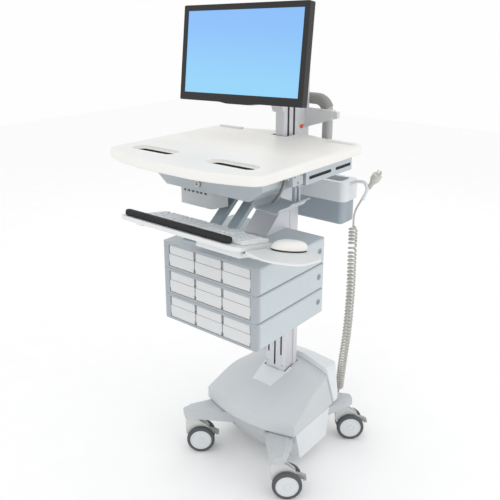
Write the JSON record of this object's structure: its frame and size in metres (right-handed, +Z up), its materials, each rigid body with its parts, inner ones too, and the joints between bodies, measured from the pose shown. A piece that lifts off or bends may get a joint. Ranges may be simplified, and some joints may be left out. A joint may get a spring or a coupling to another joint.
{
  "type": "medication cart",
  "caption": "Wheeled medication cart with a height-adjusting head: drawer stack, worksurface, keyboard tray, display arm, rear bin and curly power cord.",
  "frame": {"origin": "on the floor, under the centre of the cart's bounding box without its cord", "axes": "+Z up, -Y towards the user, +X to the user's right"},
  "size_m": [0.6866, 0.762, 1.5625],
  "materials": {
    "casting_grey": "satin",
    "hood_grey": "matte",
    "shell_white": "satin",
    "drawer_shell": "satin",
    "drawer_front": "satin",
    "top_white": "satin",
    "frame_grey": "satin",
    "column_silver": "satin",
    "arm_grey": "satin",
    "bucket_grey": "satin",
    "key_white": "satin",
    "palm_black": "matte",
    "bezel_black": "gloss",
    "screen_glass": "gloss",
    "lock_nickel": "polished",
    "lever_dark": "satin",
    "tyre_grey": "matte",
    "fork_grey": "satin",
    "pedal_grey": "satin",
    "cord_beige": "satin",
    "plug_grey": "satin",
    "spring_steel": "brushed",
    "battery_black": "matte",
    "handle_grey": "satin"
  },
  "bodies": {
    "base": {"base_casting": "casting_grey", "base_hood": "hood_grey", "rear_cover": "shell_white", "battery_skirts": "shell_white", "battery_pack": "battery_black", "column": "column_silver", "lift_spring": "spring_steel", "cord_gland": "cord_beige", "cord_foot_lead": "cord_beige", "cord_coil": "cord_beige"},
    "lift_head": {"riser": "column_silver", "drawer_unit_1": "drawer_shell", "drawer_unit_2": "drawer_shell", "drawer_unit_3": "drawer_shell", "worksurface": "top_white", "underframe": "frame_grey", "tech_box": "frame_grey", "arm_housing": "hood_grey", "scanner_shelf": "frame_grey", "mast": "column_silver", "cross_arm": "frame_grey", "rear_handle": "handle_grey", "bin_bucket": "bucket_grey", "bin_holder": "shell_white", "cord_top_lead": "cord_beige", "power_plug": "plug_grey"},
    "caster_front_left": {"caster_fork_front_left": "fork_grey"},
    "wheels_front_left": {"caster_wheels_front_left": "tyre_grey"},
    "pedal_front_left": {"brake_pedal_front_left": "pedal_grey"},
    "caster_front_right": {"caster_fork_front_right": "fork_grey"},
    "wheels_front_right": {"caster_wheels_front_right": "tyre_grey"},
    "pedal_front_right": {"brake_pedal_front_right": "pedal_grey"},
    "caster_rear_left": {"caster_fork_rear_left": "fork_grey"},
    "wheels_rear_left": {"caster_wheels_rear_left": "tyre_grey"},
    "pedal_rear_left": {"brake_pedal_rear_left": "pedal_grey"},
    "caster_rear_right": {"caster_fork_rear_right": "fork_grey"},
    "wheels_rear_right": {"caster_wheels_rear_right": "tyre_grey"},
    "pedal_rear_right": {"brake_pedal_rear_right": "pedal_grey"},
    "drawer_1_1": {"drawer_1_1": "drawer_front"},
    "drawer_1_2": {"drawer_1_2": "drawer_front"},
    "drawer_1_3": {"drawer_1_3": "drawer_front"},
    "drawer_2_1": {"drawer_2_1": "drawer_front"},
    "drawer_2_2": {"drawer_2_2": "drawer_front"},
    "drawer_2_3": {"drawer_2_3": "drawer_front"},
    "drawer_3_1": {"drawer_3_1": "drawer_front"},
    "drawer_3_2": {"drawer_3_2": "drawer_front"},
    "drawer_3_3": {"drawer_3_3": "drawer_front"},
    "key_lock": {"key_lock": "lock_nickel"},
    "lift_lever": {"lift_lever": "lever_dark"},
    "keyboard_arm": {"keyboard_arm": "arm_grey"},
    "keyboard_tray": {"keyboard_tray": "top_white", "palm_rest": "palm_black", "keyboard": "key_white"},
    "mouse_tray": {"mouse_tray": "top_white", "mouse": "key_white"},
    "display_carriage": {"display_carriage": "arm_grey"},
    "pivot_arm": {"pivot_arm": "arm_grey"},
    "tilt_head": {"tilt_head": "bezel_black"},
    "display": {"display_housing": "bezel_black", "screen_panel": "screen_glass"}
  },
  "joints": [
    {"name": "lift", "type": "slide", "parent": "base", "child": "lift_head", "axis": [0, 0, 1], "range_m": [-0.23, 0.21], "deforming": ["cord_coil"]},
    {"name": "swivel_front_left", "type": "hinge", "parent": "base", "child": "caster_front_left", "pos_m": [-0.24431, -0.09597, 0.14], "axis": [0, 0, 1], "continuous": true},
    {"name": "roll_front_left", "type": "hinge", "parent": "caster_front_left", "child": "wheels_front_left", "pos_m": [-0.22177, -0.07772, 0.05], "axis": [-0.6293, 0.7771, 0], "continuous": true},
    {"name": "brake_front_left", "type": "hinge", "parent": "caster_front_left", "child": "pedal_front_left", "pos_m": [-0.21711, -0.07394, 0.08], "axis": [-0.6293, 0.7771, 0], "range_deg": [0, 12]},
    {"name": "swivel_front_right", "type": "hinge", "parent": "base", "child": "caster_front_right", "pos_m": [0.13769, -0.09597, 0.14], "axis": [0, 0, 1], "continuous": true},
    {"name": "roll_front_right", "type": "hinge", "parent": "caster_front_right", "child": "wheels_front_right", "pos_m": [0.16023, -0.07772, 0.05], "axis": [-0.6293, 0.7771, 0], "continuous": true},
    {"name": "brake_front_right", "type": "hinge", "parent": "caster_front_right", "child": "pedal_front_right", "pos_m": [0.16489, -0.07394, 0.08], "axis": [-0.6293, 0.7771, 0], "range_deg": [0, 12]},
    {"name": "swivel_rear_left", "type": "hinge", "parent": "base", "child": "caster_rear_left", "pos_m": [-0.24431, 0.30803, 0.14], "axis": [0, 0, 1], "continuous": true},
    {"name": "roll_rear_left", "type": "hinge", "parent": "caster_rear_left", "child": "wheels_rear_left", "pos_m": [-0.22177, 0.32628, 0.05], "axis": [-0.6293, 0.7771, 0], "continuous": true},
    {"name": "brake_rear_left", "type": "hinge", "parent": "caster_rear_left", "child": "pedal_rear_left", "pos_m": [-0.21711, 0.33006, 0.08], "axis": [-0.6293, 0.7771, 0], "range_deg": [0, 12]},
    {"name": "swivel_rear_right", "type": "hinge", "parent": "base", "child": "caster_rear_right", "pos_m": [0.13769, 0.30803, 0.14], "axis": [0, 0, 1], "continuous": true},
    {"name": "roll_rear_right", "type": "hinge", "parent": "caster_rear_right", "child": "wheels_rear_right", "pos_m": [0.16023, 0.32628, 0.05], "axis": [-0.6293, 0.7771, 0], "continuous": true},
    {"name": "brake_rear_right", "type": "hinge", "parent": "caster_rear_right", "child": "pedal_rear_right", "pos_m": [0.16489, 0.33006, 0.08], "axis": [-0.6293, 0.7771, 0], "range_deg": [0, 12]},
    {"name": "drawer_slide_1_1", "type": "slide", "parent": "lift_head", "child": "drawer_1_1", "axis": [0, -1, 0], "range_m": [0, 0.25]},
    {"name": "drawer_slide_1_2", "type": "slide", "parent": "lift_head", "child": "drawer_1_2", "axis": [0, -1, 0], "range_m": [0, 0.25]},
    {"name": "drawer_slide_1_3", "type": "slide", "parent": "lift_head", "child": "drawer_1_3", "axis": [0, -1, 0], "range_m": [0, 0.25]},
    {"name": "drawer_slide_2_1", "type": "slide", "parent": "lift_head", "child": "drawer_2_1", "axis": [0, -1, 0], "range_m": [0, 0.25]},
    {"name": "drawer_slide_2_2", "type": "slide", "parent": "lift_head", "child": "drawer_2_2", "axis": [0, -1, 0], "range_m": [0, 0.25]},
    {"name": "drawer_slide_2_3", "type": "slide", "parent": "lift_head", "child": "drawer_2_3", "axis": [0, -1, 0], "range_m": [0, 0.25]},
    {"name": "drawer_slide_3_1", "type": "slide", "parent": "lift_head", "child": "drawer_3_1", "axis": [0, -1, 0], "range_m": [0, 0.25]},
    {"name": "drawer_slide_3_2", "type": "slide", "parent": "lift_head", "child": "drawer_3_2", "axis": [0, -1, 0], "range_m": [0, 0.25]},
    {"name": "drawer_slide_3_3", "type": "slide", "parent": "lift_head", "child": "drawer_3_3", "axis": [0, -1, 0], "range_m": [0, 0.25]},
    {"name": "lock_turn", "type": "hinge", "parent": "lift_head", "child": "key_lock", "pos_m": [-0.08431, -0.21397, 1.052], "axis": [0, 1, 0], "range_deg": [0, 90]},
    {"name": "lever_squeeze", "type": "hinge", "parent": "lift_head", "child": "lift_lever", "pos_m": [0.16469, -0.12597, 1.088], "axis": [1, 0, 0], "range_deg": [-18, 0], "stiffness_Nm_per_rad": 0.6, "springref_deg": 6.88},
    {"name": "arm_tilt", "type": "hinge", "parent": "lift_head", "child": "keyboard_arm", "pos_m": [-0.05331, -0.01997, 0.985], "axis": [1, 0, 0], "range_deg": [-8, 8]},
    {"name": "tray_tilt", "type": "hinge", "parent": "keyboard_arm", "child": "keyboard_tray", "pos_m": [-0.05331, -0.24397, 0.884], "axis": [1, 0, 0], "range_deg": [-2, 18]},
    {"name": "mouse_tray_slide", "type": "slide", "parent": "keyboard_tray", "child": "mouse_tray", "axis": [1, 0, 0], "range_m": [-0.004, 0.03]},
    {"name": "carriage_slide", "type": "slide", "parent": "lift_head", "child": "display_carriage", "axis": [0, 0, 1], "range_m": [-0.02, 0.05]},
    {"name": "display_pan", "type": "hinge", "parent": "display_carriage", "child": "pivot_arm", "pos_m": [-0.05531, 0.11003, 1.40587], "axis": [0, 0, 1], "range_deg": [-60, 60]},
    {"name": "display_tilt", "type": "hinge", "parent": "pivot_arm", "child": "tilt_head", "pos_m": [-0.05531, 0.03015, 1.40587], "axis": [1, 0, 0], "range_deg": [-15, 10]},
    {"name": "display_turn", "type": "hinge", "parent": "tilt_head", "child": "display", "pos_m": [-0.05531, -0.05297, 1.418], "axis": [0, 0.9895, -0.1444], "range_deg": [-90, 90]}
  ]
}
